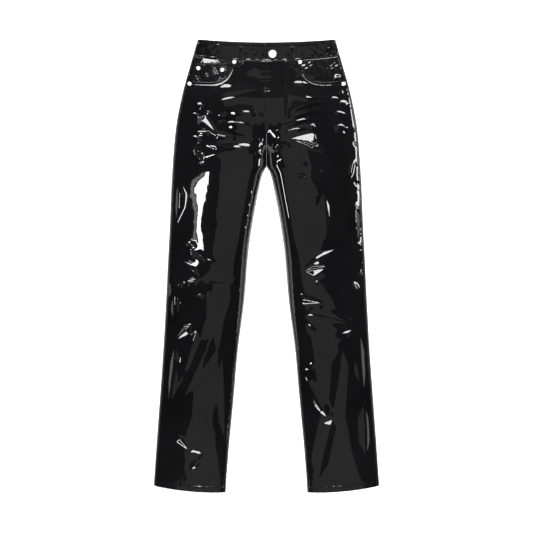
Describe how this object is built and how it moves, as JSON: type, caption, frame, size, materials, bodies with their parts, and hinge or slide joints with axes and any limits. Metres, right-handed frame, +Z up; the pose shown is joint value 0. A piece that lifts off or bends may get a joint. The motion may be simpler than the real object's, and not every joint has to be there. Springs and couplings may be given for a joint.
{
  "type": "leather trousers",
  "caption": "High-waisted straight-leg trousers of glossy black leather, lying flat on their back, with a waistband, fly, belt loops, curved front pockets and round rivets.",
  "frame": {"origin": "under the middle of the garment, on the surface that it lies on", "axes": "+Y from the hems to the waist, +X towards the wearer's left, +Z up from the surface"},
  "size_m": [0.5178, 1.0396, 0.036],
  "materials": {
    "patent_leather": "smooth leather under a clear, glossy lacquer",
    "facing_leather": "the same lacquered leather, inside the pocket mouths",
    "polished_metal": "polished and plated silver grey"
  },
  "bodies": {
    "root": {"front_right": "patent_leather", "front_left": "patent_leather", "back_right_upper": "patent_leather", "back_right_lower": "patent_leather", "back_left_upper": "patent_leather", "back_left_lower": "patent_leather", "yoke_right": "patent_leather", "yoke_left": "patent_leather", "back_pocket_right": "patent_leather", "back_pocket_left": "patent_leather", "coin_pocket": "patent_leather", "waistband": "patent_leather", "belt_loop_front_right": "patent_leather", "belt_loop_front_left": "patent_leather", "belt_loop_back_right": "patent_leather", "belt_loop_back_centre": "patent_leather", "belt_loop_back_left": "patent_leather", "pocket_facing_right": "facing_leather", "pocket_facing_left": "facing_leather", "button": "polished_metal", "rivet_pocket_right_waist": "polished_metal", "rivet_pocket_right_side": "polished_metal", "rivet_coin_outer": "polished_metal", "rivet_coin_inner": "polished_metal", "rivet_pocket_left_waist": "polished_metal", "rivet_pocket_left_side": "polished_metal"}
  },
  "joints": []
}
